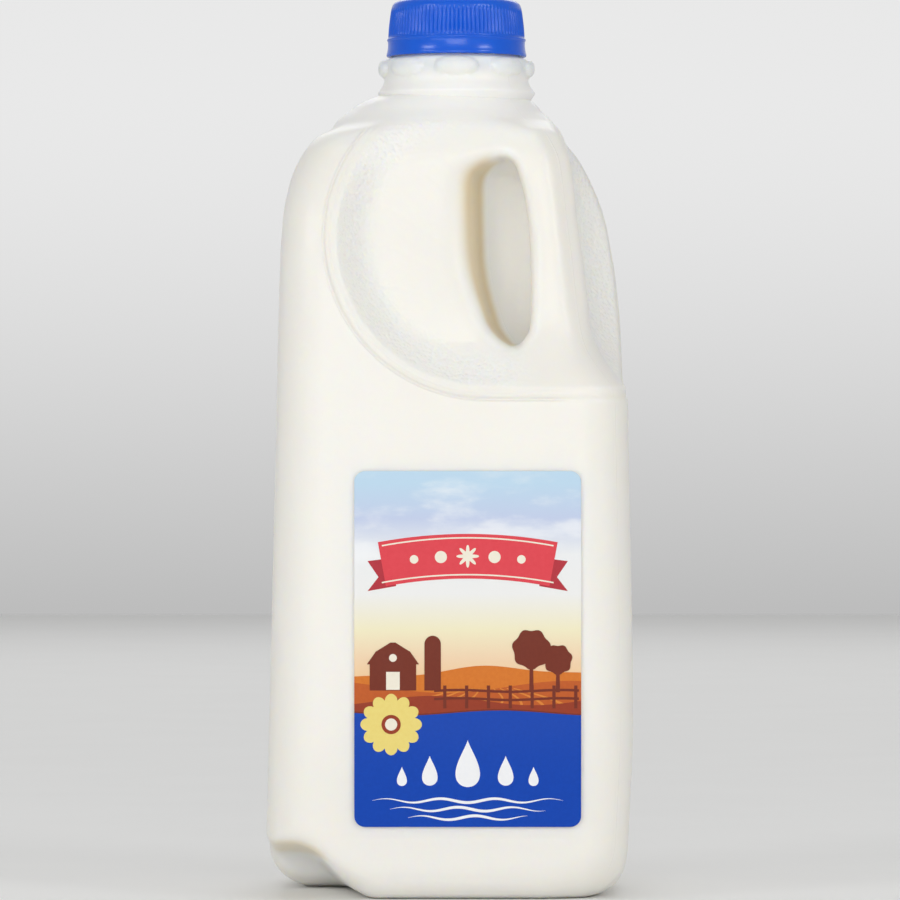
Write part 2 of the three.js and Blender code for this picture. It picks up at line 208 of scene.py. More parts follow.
# The camera's place and the width that it sees at the middle of the jug, in metres.
SENSOR_WIDTH = 36
CAMERA_DISTANCE = 1.8
CAMERA_HEIGHT = 0.1262
CAMERA_SIDEWAYS = -0.00055
VIEW_WIDTH = 0.2589


def ink(red, green, blue):
    """A colour given as 0 to 255 on a screen, as the share of light that it returns."""
    return tuple(
        c / 255 / 12.92 if c <= 10 else ((c / 255 + 0.055) / 1.055) ** 2.4
        for c in (red, green, blue)
    )


MILK_WHITE = ink(245, 243, 238)
MILK_CREAM = ink(245, 242, 233)
# Painted shade: a tan tone put where little light gets in, on the gap's near wall and under the scoops'
# roofs.
PAINTED_SHADE_TAN = ink(232, 214, 178)
# Painted light: a paler milk colour that stands in for light reaching the deep places, the pebbled band
# and the neck.
PAINTED_LIGHT_MILK = ink(253, 252, 246)
NECK_CLEAR = ink(226, 232, 236)
NECK_CLOUDY = ink(240, 241, 240)
CAP_BLUE = (0.002, 0.098, 0.66)
CAP_BLUE_LIGHT = (0.004, 0.122, 0.74)
# Painted light: the milk's colour is painted paler between these two heights, on the way up to the neck.
PAINTED_LIGHT_FROM = 205
PAINTED_LIGHT_TO = 228
# How much light soaks into each plastic, how far by colour, and how strongly each surface mirrors.
JUG_SOAK = {"subsurface_weight": 0.55, "subsurface_radius": (1.0, 0.82, 0.5), "subsurface_scale": 0.005}
CAP_SOAK = {"subsurface_weight": 0.12, "subsurface_radius": (0.2, 0.4, 1.0), "subsurface_scale": 0.0015}
JUG_MIRROR = 0.36
CAP_MIRROR = 0.42
FILM_MIRROR = 0.15
# An edge stays crisp where its faces turn by more than this many degrees.
JUG_CREASE = 50
CAP_CREASE = 60
FILM_CREASE = 40
PRINT_CREASE = 30

# The print: a sky by height, blue at its top and peach at its foot, over orange fields and a blue
# band. Each ink has two close tones.
SKY_COLOURS = [
    (50, (2, 64, 170)), (54, (240, 190, 120)), (68, (243, 214, 178)), (76, (243, 236, 200)),
    (86, (240, 240, 238)), (97, (238, 240, 241)), (107, (196, 208, 234)), (117, (190, 218, 238)),
]
CLOUD = (246, 248, 250)
CLOUD_SIZE = 24
FAR_FIELD = [(222, 128, 44), (210, 112, 34)]
MIDDLE_FIELD = [(186, 84, 34), (202, 100, 36)]
NEAR_FIELD = [(146, 54, 30), (158, 62, 34)]
FURROW = [(226, 140, 58), (216, 126, 46)]
TIMBER = [(112, 42, 26), (124, 50, 30)]
BAND = [(2, 64, 170), (6, 72, 184)]
RED = [(222, 62, 74), (228, 74, 84)]
CREAM = [(244, 238, 222), (240, 232, 212)]
WHITE = [(248, 248, 248), (240, 242, 246)]
YELLOW = [(240, 222, 132), (235, 212, 116)]
FOLDED_RED = [(176, 44, 58), (186, 52, 62)]


def curve(points):
    """Cubic through (at, value) pairs that never overshoots them and runs straight on past both ends."""
    at = np.array([point[0] for point in points], float)
    value = np.array([point[1] for point in points], float)
    slope = np.diff(value) / np.diff(at)
    before = np.concatenate([slope[:1], slope])
    after = np.concatenate([slope, slope[-1:]])
    safe = np.where(before + after == 0, 1, before + after)
    tangent = np.where(before * after <= 0, 0, 2 * before * after / safe)

    def evaluate(places):
        places = np.asarray(places, float)
        i = np.clip(np.searchsorted(at, places) - 1, 0, len(slope) - 1)
        step = at[i + 1] - at[i]
        t = np.clip((places - at[i]) / step, 0, 1)
        inside = value[i] * (1 + 2 * t) * (1 - t) ** 2 + value[i + 1] * t * t * (3 - 2 * t)
        inside += step * (tangent[i] * t * (1 - t) ** 2 - tangent[i + 1] * t * t * (1 - t))
        below = tangent[0] * np.minimum(places - at[0], 0)
        above = tangent[-1] * np.maximum(places - at[-1], 0)
        return inside + below + above

    return evaluate


plain_wall = curve(PLAIN_WALL)
handle_wall = curve(HANDLE_WALL)
grip_floor = curve(GRIP_FLOOR)
handle_inside = curve(HANDLE_INSIDE)
gap_seam = curve(GAP_SEAM)
cone_height = curve(CONE)


def smooth_step(x, low, high):
    t = np.clip((x - low) / (high - low), 0, 1)
    return t * t * (3 - 2 * t)


def lerp(a, b, t):
    return a + (b - a) * t


def round_max(a, b, radius):
    """The edge where two fields meet, rounded to a true radius."""
    outside = np.hypot(np.maximum(a + radius, 0), np.maximum(b + radius, 0))
    return np.minimum(np.maximum(a, b), -radius) + outside


def soft_max(a, b, reach):
    near = np.maximum(reach - np.abs(a - b), 0) / reach
    return np.maximum(a, b) + near * near * reach * 0.25


def soft_min(a, b, reach):
    return -soft_max(-a, -b, reach)


def grip_inward(across, z):
    """How far a place on the label face lies inside the outline of the grip recess."""
    return GRIP_RADIUS - np.hypot(np.minimum(across - GRIP_ACROSS, 0), z - GRIP_HEIGHT)


def grip_wall(across, z):
    """Half width of the label face at one place, with the grip recess pressed into it."""
    wall = handle_wall(z)
    inward = grip_inward(across, z)
    slope = lerp(GRIP_SLOPE_SHORT, GRIP_SLOPE_LONG, smooth_step(across, -10, 30))
    press = np.sin(np.clip((inward - RIM_WIDTH) / (slope - RIM_WIDTH), 0, 1) * math.pi / 2)
    rim = RIM_DROP * smooth_step(inward, 0, RIM_STEP)
    bowl = GRIP_BULGE * smooth_step(inward, slope, GRIP_RADIUS) * (1 - smooth_step(across, 14, 30))
    floor = np.minimum(grip_floor(z), wall - rim)
    return lerp(wall - rim, floor, press) - bowl


def wall_field(x, y, z):
    left = -x - plain_wall(z)
    back = y - plain_wall(z)
    front = -y - grip_wall(x, z)
    right = x - grip_wall(-y, z)
    in_grip = smooth_step(z, 147, 169)
    at_handle = in_grip * smooth_step(x - y, 20, 50)
    radius = lerp(CORNER_RADIUS, HANDLE_CORNER, at_handle)
    corners = round_max(np.maximum(left, right), np.maximum(front, back), radius)
    facet = (x - y) * math.sqrt(0.5) - grip_floor(z) * math.sqrt(2) + HANDLE_CHAMFER
    return lerp(corners, soft_max(corners, facet, 1.8), in_grip)


def with_cone(field, x, y, z):
    """Adds the cone under the neck, softly on the handle side and with a crease on the other."""
    radius = np.hypot(x, y)
    towards_handle = (x - y) * math.sqrt(0.5) / np.maximum(radius, 1e-6)
    drawn_in = CONE_DRAWN_IN * smooth_step(towards_handle, -0.6, 0.9) * smooth_step(radius, 18, 30)
    at = radius + drawn_in
    fall = cone_height(at + 0.5) - cone_height(at - 0.5)
    cone = soft_max((z - cone_height(at)) / np.hypot(1, fall), CONE_FOOT - z, 10)
    return soft_min(field, cone, lerp(1.5, 6.5, smooth_step(towards_handle, -0.6, 0.4)))


def gap_field(x, y, z):
    """The L shaped space between the valley wall and the inside of the handle."""
    seam = gap_seam(z)
    tilt = math.tan(GAP_WALL_TILT)
    near = (seam - (-y - seam) * tilt - x) * math.cos(GAP_WALL_TILT)
    far = (seam - (x - seam) * tilt + y) * math.cos(GAP_WALL_TILT)
    valley = round_max(near, far, GAP_VALLEY_RADIUS)
    inside = handle_inside(z)
    handle = round_max(inside - x, y + inside, HANDLE_CORNER)
    ends = np.abs(z - (GAP_BOTTOM + GAP_TOP) / 2) - (GAP_TOP - GAP_BOTTOM) / 2
    return round_max(round_max(valley, ends, GAP_END_RADIUS), -handle, 3)


def scoop_field(x, y, z):
    """One finger scoop, cut into the foot of the front left corner, with a bulging back wall."""
    from_left = x + PLAIN_WALL[0][1]
    from_front = y + HANDLE_WALL[0][1]
    narrowing = np.maximum(from_front, 0) * SCOOP_DRAFT
    roof = z - SCOOP_HEIGHT + narrowing
    slant = (z - SCOOP_HEIGHT + narrowing + from_left - SCOOP_SHELF) * math.sqrt(0.5)
    side = from_left - SCOOP_WIDTH + narrowing
    below = np.clip(SCOOP_BULGE - z, 0, SCOOP_BULGE)
    under = SCOOP_BULGE - np.sqrt(SCOOP_BULGE ** 2 - below ** 2)
    return soft_max(soft_max(soft_max(roof, slant, 4), side, 3), from_front - SCOOP_DEPTH - under, 6)


def jug_field(x, y, z):
    """Negative inside the moulded jug, from its base up to the foot of the neck."""
    base_radius = lerp(BASE_RADIUS, BASE_RADIUS_PLAIN, smooth_step(y - x, -20, 30))
    base_radius = base_radius + BASE_CORNER_EXTRA * smooth_step(np.minimum(np.abs(x), np.abs(y)), 22, 48)
    field = round_max(wall_field(x, y, z), -z, base_radius)
    field = soft_max(field, z - SHOULDER_TOP, 3)
    field = with_cone(field, x, y, z)
    soft = lerp(9, 4.5, smooth_step((x - y) / 2, 12, 24))
    field = soft_max(field, -gap_field(x, y, z), soft)
    scoop_edge = lerp(SCOOP_EDGE_LOW, SCOOP_EDGE, smooth_step(z, 0, SCOOP_BULGE))
    field = soft_max(field, -scoop_field(x, y, z), scoop_edge)
    field = soft_max(field, -scoop_field(-y, -x, z), scoop_edge)
    recess = round_max(np.abs(x), np.abs(y), RECESS_RADIUS) - RECESS_HALF
    return soft_max(field, -soft_max(recess, z - RECESS_DEPTH, 4), 4)


def grid_lines(stops):
    """Grid lines from (start, step) pairs: each stretch runs on to the next start."""
    lines = [float(stops[0][0])]
    for (start, step), (end, _) in zip(stops, stops[1:]):
        count = max(1, round((end - start) / step))
        lines.extend(start + (end - start) * (k + 1) / count for k in range(count))
    return np.array(lines)


def push_to_surface(field, points, low, high):
    """Moves points onto the field's zero surface, each without leaving its grid cell."""
    for _ in range(SURFACE_ROUNDS):
        value = field(*points.T)
        slope = np.empty_like(points)
        for axis in range(3):
            ahead = points.copy()
            behind = points.copy()
            ahead[:, axis] += SLOPE_REACH
            behind[:, axis] -= SLOPE_REACH
            slope[:, axis] = (field(*ahead.T) - field(*behind.T)) / (2 * SLOPE_REACH)
        steep = np.maximum((slope ** 2).sum(axis=1), 0.2)
        step = np.clip(-value / steep, -LONGEST_PUSH, LONGEST_PUSH)
        points = np.clip(points + slope * step[:, None], low, high)
    return points


def surface_of(field, lines):
    """Vertices and quads of the field's zero surface: one vertex in each grid cell it crosses."""
    grid = np.meshgrid(*lines, indexing="ij")
    values = field(*grid)
    inside = values < 0
    cells = tuple(n - 1 for n in values.shape)
    total = np.zeros(cells + (3,))
    count = np.zeros(cells)
    crossed = []
    for axis in range(3):
        first = [slice(None)] * 3
        last = [slice(None)] * 3
        first[axis] = slice(0, -1)
        last[axis] = slice(1, None)
        first, last = tuple(first), tuple(last)
        cut = inside[first] != inside[last]
        crossed.append(cut)
        difference = np.where(cut, values[first] - values[last], 1)
        t = np.where(cut, values[first] / difference, 0)
        place = np.stack([grid[k][first] for k in range(3)], axis=-1)
        place[..., axis] += t * (grid[axis][last] - grid[axis][first])
        place *= cut[..., None]
        others = [k for k in range(3) if k != axis]
        for shift in ((0, 0), (0, 1), (1, 0), (1, 1)):
            window = [slice(0, cells[axis])] * 3
            for k, offset in zip(others, shift):
                window[k] = slice(offset, offset + cells[k])
            total += place[tuple(window)]
            count += cut[tuple(window)]
    used = count > 0
    number = np.full(cells, -1)
    number[used] = np.arange(used.sum())
    corner = np.argwhere(used)
    low = np.stack([lines[k][corner[:, k]] for k in range(3)], axis=1)
    high = np.stack([lines[k][corner[:, k] + 1] for k in range(3)], axis=1)
    points = total[used] / count[used][:, None]
    margin = (high - low) * CELL_MARGIN
    points = push_to_surface(field, points, low + margin, high - margin)
    quads = []
    for axis in range(3):
        u, v = (axis + 1) % 3, (axis + 2) % 3
        places = np.argwhere(crossed[axis])
        keep = (places[:, u] > 0) & (places[:, v] > 0)
        places = places[keep]
        ring = []
        for du, dv in ((1, 1), (0, 1), (0, 0), (1, 0)):
            cell = places.copy()
            cell[:, u] -= du
            cell[:, v] -= dv
            ring.append(number[tuple(cell.T)])
        ring = np.stack(ring, axis=1)
        outward = inside[tuple(places.T)]
        quads.append(np.where(outward[:, None], ring, ring[:, ::-1]))
    return points, np.concatenate(quads)


def soften(profile, rounds):
    """Cuts the corners of an open profile, keeping its two ends."""
    points = np.array(profile, float)
    for _ in range(rounds):
        near = points[:-1] * 0.75 + points[1:] * 0.25
        far = points[:-1] * 0.25 + points[1:] * 0.75
        middle = np.stack([near, far], axis=1).reshape(-1, 2)
        points = np.concatenate([points[:1], middle, points[-1:]])
    return points


def fill_in(profile, longest):
    """Adds points to a profile so that no stretch is longer than the given length."""
    dense = [profile[0]]
    for start, end in zip(profile, profile[1:]):
        count = max(1, math.ceil(np.hypot(*(end - start)) / longest))
        dense.extend(start + (end - start) * (k + 1) / count for k in range(count))
    return np.array(dense)


def turned(profile, sides, relief=None):
    """A closed mesh turned about the neck's axis from (radius, height) points. The relief gives
    how far each point stands out from its radius, by angle and height."""
    profile = np.asarray(profile)
    turn = np.arange(sides) * 2 * math.pi / sides
    radius = np.repeat(profile[:, :1], sides, axis=1)
    height = np.repeat(profile[:, 1:], sides, axis=1)
    angle = np.repeat(turn[None, :], len(profile), axis=0)
    if relief is not None:
        radius = radius + relief(angle, height, radius)
    x = NECK_AXIS[0] + radius * np.cos(angle)
    y = NECK_AXIS[1] + radius * np.sin(angle)
    points = np.stack([x, y, height], axis=-1).reshape(-1, 3)
    ring = np.arange(len(profile) - 1)[:, None] * sides
    side = np.arange(sides)[None, :]
    after = (side + 1) % sides
    quads = np.stack([ring + side, ring + after, ring + sides + after, ring + sides + side], axis=-1)
    faces = [tuple(quad) for quad in quads.reshape(-1, 4)]
    faces.append(tuple(range(sides))[::-1])
    faces.append(tuple(range((len(profile) - 1) * sides, len(profile) * sides)))
    return points, faces


def new_piece(name, vertices, faces, material, smooth=True):
    """A mesh object from points in millimetres."""
    mesh = bpy.data.meshes.new(name)
    mesh.from_pydata([tuple(p) for p in np.asarray(vertices) * MM], [], [tuple(f) for f in faces])
    mesh.validate()
    piece = bpy.data.objects.new(name, mesh)
    bpy.context.scene.collection.objects.link(piece)
    if material is not None:
        mesh.materials.append(material)
    mesh.polygons.foreach_set("use_smooth", [smooth] * len(mesh.polygons))
    mesh.update()
    return piece


def apply_modifiers(piece):
    graph = bpy.context.evaluated_depsgraph_get()
    mesh = bpy.data.meshes.new_from_object(piece.evaluated_get(graph))
    piece.modifiers.clear()
    old = piece.data
    piece.data = mesh
    bpy.data.meshes.remove(old)


def join_solid(piece, other):
    """Fuses another solid into the piece and removes it."""
    union = piece.modifiers.new("union", "BOOLEAN")
    union.operation = "UNION"
    union.solver = "EXACT"
    union.object = other
    apply_modifiers(piece)
    bpy.data.objects.remove(other)


def keep_sharp(piece, degrees):
    """Smooth shading that keeps an edge crisp where its faces turn by more than this."""
    mesh = bmesh.new()
    mesh.from_mesh(piece.data)
    for face in mesh.faces:
        face.smooth = True
    for edge in mesh.edges:
        edge.smooth = not edge.is_manifold or edge.calc_face_angle(0) < math.radians(degrees)
    mesh.to_mesh(piece.data)
    mesh.free()


def new_material(name):
    material = bpy.data.materials.new(name)
    material.use_nodes = True
    return Shading(material)


class Shading:
    """The nodes of a material or of the world, made and joined by short calls."""

    def __init__(self, owner, shader="Principled BSDF", place="Object"):
        self.material = owner
        self.nodes = owner.node_tree.nodes
        self.links = owner.node_tree.links
        self.shader = self.nodes[shader]
        self.position = self.nodes.new("ShaderNodeTexCoord").outputs[place]

    def set(self, **values):
        """Sets the shader's own sockets: base_color sets Base Color."""
        for name, value in values.items():
            socket = name.replace("_", " ").title().replace("Ior", "IOR")
            self.shader.inputs[socket].default_value = value

    def join(self, output, name):
        self.links.new(output, self.shader.inputs[name])

    def put(self, value, socket):
        if isinstance(value, (int, float, tuple)):
            socket.default_value = value
        else:
            self.links.new(value, socket)

    def math(self, operation, a, b=0.0, clamp=False):
        node = self.nodes.new("ShaderNodeMath")
        node.operation = operation
        node.use_clamp = clamp
        self.put(a, node.inputs[0])
        self.put(b, node.inputs[1])
        return node.outputs[0]

    def split(self):
        """The place as its X, Y and Z."""
        node = self.nodes.new("ShaderNodeSeparateXYZ")
        self.links.new(self.position, node.inputs[0])
        return node.outputs

    def height(self):
        """The height above the floor, in millimetres."""
        return self.math("MULTIPLY", self.split()["Z"], 1 / MM)

    def ramp(self, value, low, high):
        """From 0 at the low value to 1 at the high one, smoothly."""
        node = self.nodes.new("ShaderNodeMapRange")
        node.interpolation_type = "SMOOTHSTEP"
        self.put(value, node.inputs["Value"])
        node.inputs["From Min"].default_value = low
        node.inputs["From Max"].default_value = high
        return node.outputs["Result"]

    def stops(self, value, colours):
        """A colour that runs through (place, colour) stops as the value goes from 0 to 1."""
        node = self.nodes.new("ShaderNodeValToRGB")
        self.links.new(value, node.inputs["Fac"])
        elements = node.color_ramp.elements
        for place, colour in colours[2:]:
            elements.new(place)
        for element, (place, colour) in zip(elements, colours):
            element.position = place
            element.color = (*colour, 1)
        return node.outputs["Color"]

    def mix(self, amount, a, b):
        node = self.nodes.new("ShaderNodeMix")
        node.data_type = "RGBA"
        self.put(amount, node.inputs["Factor"])
        for value, socket in ((a, node.inputs[6]), (b, node.inputs[7])):
            self.put((*value, 1) if isinstance(value, tuple) else value, socket)
        return node.outputs[2]

    def noise(self, size, detail=2.0):
        """Cloudy noise from 0 to 1, with lumps of about the given size in millimetres."""
        node = self.nodes.new("ShaderNodeTexNoise")
        self.links.new(self.position, node.inputs["Vector"])
        node.inputs["Scale"].default_value = 1 / (size * MM)
        node.inputs["Detail"].default_value = detail
        return node.outputs["Fac"]

    def cells(self, size):
        """Rounded pebbles of about the given size in millimetres: 0 at each one's middle."""
        node = self.nodes.new("ShaderNodeTexVoronoi")
        node.feature = "SMOOTH_F1"
        self.links.new(self.position, node.inputs["Vector"])
        node.inputs["Scale"].default_value = 1 / (size * MM)
        node.inputs["Smoothness"].default_value = 0.6
        return node.outputs["Distance"]

    def attribute(self, name):
        node = self.nodes.new("ShaderNodeAttribute")
        node.attribute_name = name
        return node.outputs["Fac"]

    def bump(self, height, millimetres, before=None):
        """Relief of the given depth from a height of 0 to 1, on top of any before it."""
        node = self.nodes.new("ShaderNodeBump")
        node.inputs["Distance"].default_value = millimetres * MM
        self.links.new(height, node.inputs["Height"])
        if before is not None:
            self.links.new(before, node.inputs["Normal"])
        return node.outputs["Normal"]


def jug_material():
    """Cloudy plastic: cream with the milk behind it, painted paler towards the neck, painted light in the
    deep places and on the pebbled band, painted tan shade where little light gets in, and thinner and
    cooler above the milk."""
    look = new_material("cloudy_plastic")
    height = look.height()
    cloud = look.noise(38)
    milk = look.mix(cloud, MILK_WHITE, MILK_CREAM)
    above = look.ramp(height, MILK_LEVEL - 1.8, MILK_LEVEL + 2.2)
    mottle = look.mix(look.noise(2.6), NECK_CLEAR, NECK_CLOUDY)
    # Painted light: paler up towards the neck.
    milk = look.mix(look.ramp(height, PAINTED_LIGHT_FROM, PAINTED_LIGHT_TO), milk, PAINTED_LIGHT_MILK)
    # Painted light in the gap, in the scoops and on the pebbled band.
    milk = look.mix(look.attribute("painted_light"), milk, PAINTED_LIGHT_MILK)
    # Painted shade: tan on the near wall of the gap behind the handle and under the roofs of the scoops.
    milk = look.mix(look.attribute("tan"), milk, PAINTED_SHADE_TAN)
    look.join(look.mix(above, milk, mottle), "Base Color")
    rough = look.math("MULTIPLY", look.noise(1.4, 4), 0.12)
    rough = look.math("ADD", rough, look.math("MULTIPLY", look.attribute("stipple"), 0.08))
    look.join(look.math("ADD", rough, 0.27), "Roughness")
    look.set(**JUG_SOAK, specular_ior_level=JUG_MIRROR)
    skin = look.bump(look.noise(7), 0.1)
    fine = look.bump(look.noise(0.9, 3), 0.012, skin)
    place = look.split()
    off_seam = look.math("ABSOLUTE", look.math("ADD", place["X"], place["Y"]))
    ridge = look.math("SUBTRACT", 1.0, look.ramp(off_seam, 0.0, SEAM_WIDTH * MM))
    ridge = look.math("MULTIPLY", ridge, look.ramp(height, 3, 12))
    relief = look.bump(ridge, SEAM_DEPTH, fine)
    inward = look.attribute("inward")
    for at, reach, depth in RIM_BEADS:
        off = look.math("ABSOLUTE", look.math("SUBTRACT", inward, at))
        bead = look.math("SUBTRACT", 1.0, look.ramp(off, 0.0, reach))
        relief = look.bump(look.math("MULTIPLY", bead, look.attribute("rim")), depth, relief)
    pebbles = look.math("SUBTRACT", 1.0, look.cells(PEBBLE_SIZE))
    pebbles = look.math("MULTIPLY", pebbles, look.attribute("stipple"))
    look.join(look.bump(pebbles, PEBBLE_DEPTH, relief), "Normal")
    return look.material


def cap_material():
    """Glossy moulded blue plastic, a little uneven."""
    look = new_material("blue_plastic")
    look.join(look.mix(look.noise(9, 3), CAP_BLUE, CAP_BLUE_LIGHT), "Base Color")
    look.join(look.math("ADD", look.math("MULTIPLY", look.noise(3, 4), 0.12), 0.14), "Roughness")
    look.set(**CAP_SOAK, specular_ior_level=CAP_MIRROR)
    look.join(look.bump(look.noise(1.2, 3), 0.02), "Normal")
    return look.material


def lug_relief(angle, height, radius):
    """How far the rounded lugs stand out from the neck."""
    spacing = 2 * math.pi / LUG_COUNT
    facing = -math.pi / 2
    off = np.abs((angle - facing + spacing / 2) % spacing - spacing / 2) / LUG_HALF_ANGLE
    rise = np.abs(height - LUG_HEIGHT) / LUG_HALF_HEIGHT
    dome = np.clip(1 - (off ** LUG_ROUNDNESS + rise ** LUG_ROUNDNESS), 0, 1) ** 0.5
    return dome * np.maximum(LUG_REACH - radius, 0)


def make_neck():
    profile = soften(NECK_PROFILE, 2)
    neck, faces = turned(fill_in(profile, 0.8), NECK_SIDES, lug_relief)
    return new_piece("neck", neck, faces, None)


def mark_skin(jug):
    """Marks the skin for its material: the distance inside the nearer recess, the rim's stretch,
    the pebbled band, and where painted light brightens the plastic or painted tan shade darkens it."""
    mesh = jug.data
    places = np.empty(len(mesh.vertices) * 3)
    mesh.vertices.foreach_get("co", places)
    x, y, z = places.reshape(-1, 3).T / MM
    on_right = x > -y
    across = np.where(on_right, -y, x)
    out = np.where(on_right, x, -y)
    inward = grip_inward(across, z)
    facing = smooth_step(out, 29, 31)
    rim = facing * (1 - smooth_step(across, 26, 36))
    stipple = smooth_step(inward, 3.2, 4.6) * (1 - smooth_step(inward, 8.5, 17))
    stipple = stipple * facing * (1 - smooth_step(across, 12, 26))
    in_gap = 1 - smooth_step(gap_field(x, y, z), 0, 4)
    # Painted tan shade goes on the gap's near wall, and more faintly under the scoops' roofs.
    off_wall = x - gap_seam(z) + (-y - gap_seam(z)) * math.tan(GAP_WALL_TILT)
    near_wall = (1 - smooth_step(off_wall, 2, 6)) * smooth_step(-x - y, 0, 6) * smooth_step(y, -37, -28)
    scoop = np.minimum(scoop_field(x, y, z), scoop_field(-y, -x, z))
    in_scoop = 1 - smooth_step(scoop, 0, 1.6)
    under_roof = in_scoop * smooth_step(z, 10, 13)
    marks = {
        "inward": inward,
        "rim": rim,
        "stipple": stipple,
        # Painted light in the gap, the scoops and on the pebbled band.
        "painted_light": np.maximum(np.maximum(in_gap, in_scoop), 0.7 * stipple),
        # Painted shade: the tan mark.
        "tan": np.maximum(in_gap * near_wall, 0.6 * under_roof),
    }
    for name, values in marks.items():
        mesh.attributes.new(name, "FLOAT", "POINT").data.foreach_set("value", values)


def make_jug(material):
    sideways = grid_lines(GRID_SIDEWAYS)
    upright = grid_lines(GRID_UPRIGHT)
    points, quads = surface_of(jug_field, (sideways, -sideways[::-1], upright))
    jug = new_piece("jug_body", points, quads, material)
    join_solid(jug, make_neck())
    keep_sharp(jug, JUG_CREASE)
    mark_skin(jug)
    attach(jug, "root")
    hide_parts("jug")


def rib_relief(angle, height, radius):
    """The ribs of the cap's skirt, fading out at both ends."""
    fade = smooth_step(height, 244.6, 245.3) * (1 - smooth_step(height, 251.7, 252.8))
    outside = radius > 18.3
    wave = 0.5 - 0.5 * np.cos(angle * CAP_RIBS)
    return np.where(outside, -CAP_RIB_DEPTH * wave ** 1.5 * fade, 0)


def make_cap(material):
    outside = soften(CAP_OUTSIDE, 2)
    inside = soften(CAP_INSIDE, 1)
    shape = np.concatenate([inside, fill_in(outside[1:], 0.7)])
    cap, faces = turned(shape, CAP_RIBS * CAP_RIB_SIDES, rib_relief)
    piece = new_piece("cap_body", cap, faces, material)
    keep_sharp(piece, CAP_CREASE)
    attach(piece, "root")
    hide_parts("cap")


def finish_film(look, colour):
    """Gives a film its colour and its satin shine."""
    look.join(colour, "Base Color")
    look.join(look.math("ADD", look.math("MULTIPLY", look.noise(5, 2), 0.1), 0.3), "Roughness")
    look.join(look.bump(look.noise(0.5, 2), 0.004), "Normal")
    look.set(specular_ior_level=FILM_MIRROR)
    return look.material


def ink_material(name, tones):
    """Printed ink on smooth film: two close tones in fine grains."""
    look = new_material(name)
    return finish_film(look, look.mix(look.noise(1.1, 3), ink(*tones[0]), ink(*tones[1])))


def sky_material():
    """The label's film: the sky's colours by height, with soft clouds in its upper part."""
    look = new_material("label_sky")
    height = look.height()
    low, high = SKY_COLOURS[0][0], SKY_COLOURS[-1][0]
    along = look.math("DIVIDE", look.math("SUBTRACT", height, float(low)), float(high - low), clamp=True)
    sky = look.stops(along, [((z - low) / (high - low), ink(*colour)) for z, colour in SKY_COLOURS])
    stretch = look.nodes.new("ShaderNodeMapping")
    stretch.inputs["Scale"].default_value = (1, 1, 2.6)
    look.links.new(look.position, stretch.inputs["Vector"])
    cloud = look.nodes.new("ShaderNodeTexNoise")
    look.links.new(stretch.outputs["Vector"], cloud.inputs["Vector"])
    cloud.inputs["Scale"].default_value = 1 / (CLOUD_SIZE * MM)
    cloud.inputs["Detail"].default_value = 5
    puffs = look.ramp(cloud.outputs["Fac"], 0.47, 0.66)
    below_top = look.math("SUBTRACT", 1.0, look.ramp(height, 116, 122))
    zone = look.math("MULTIPLY", look.ramp(height, 88, 100), below_top)
    amount = look.math("MULTIPLY", puffs, look.math("MULTIPLY", zone, 0.6))
    return finish_film(look, look.mix(amount, sky, ink(*CLOUD)))


def on_face(x, z, lift):
    """A point above the label face, following its slight curve."""
    return (x, -(float(handle_wall(z)) + lift), z)


def label_edge(z):
    """How far the label's round corners draw in its sides at a height."""
    past = max(LABEL_BOTTOM + LABEL_CORNER - z, z - LABEL_TOP + LABEL_CORNER, 0)
    return LABEL_CORNER - math.sqrt(max(LABEL_CORNER ** 2 - past ** 2, 0))


def slab(place, columns, rows, near, far):
    """A thin closed slab on the label face: place(u, v) gives x and z for u and v from 0 to 1."""
    grid = [place(i / columns, j / rows) for j in range(rows + 1) for i in range(columns + 1)]
    vertices = [on_face(x, z, far) for x, z in grid] + [on_face(x, z, near) for x, z in grid]
    wide = columns + 1
    behind = len(grid)
    faces = []
    for j in range(rows):
        for i in range(columns):
            a = j * wide + i
            faces.append((a, a + 1, a + wide + 1, a + wide))
            faces.append((behind + a, behind + a + wide, behind + a + wide + 1, behind + a + 1))
    around = list(range(wide))
    around += [j * wide + columns for j in range(1, rows + 1)]
    around += [rows * wide + i for i in range(columns - 1, -1, -1)]
    around += [j * wide for j in range(rows - 1, 0, -1)]
    for a, b in zip(around, around[1:] + around[:1]):
        faces.append((b, a, behind + a, behind + b))
    return vertices, faces


def disc(place, turns, near, far):
    """A thin closed disc on the label face: place(angle, reach) gives x and z, with reach from 0
    at the middle to 1 at the outline."""
    vertices = []
    for lift in (far, near):
        vertices.append(on_face(*place(0, 0), lift))
        for ring in range(1, DISC_RINGS + 1):
            for k in range(turns):
                vertices.append(on_face(*place(k / turns * 2 * math.pi, ring / DISC_RINGS), lift))
    behind = 1 + DISC_RINGS * turns
    last = 1 + (DISC_RINGS - 1) * turns
    faces = []
    for k in range(turns):
        after = (k + 1) % turns
        wedge = [(0, 1 + k, 1 + after)]
        for ring in range(DISC_RINGS - 1):
            inner = 1 + ring * turns
            outer = inner + turns
            wedge.append((inner + k, outer + k, outer + after, inner + after))
        faces += wedge
        faces += [tuple(behind + corner for corner in face[::-1]) for face in wedge]
        faces.append((last + after, last + k, behind + last + k, behind + last + after))
    return vertices, faces


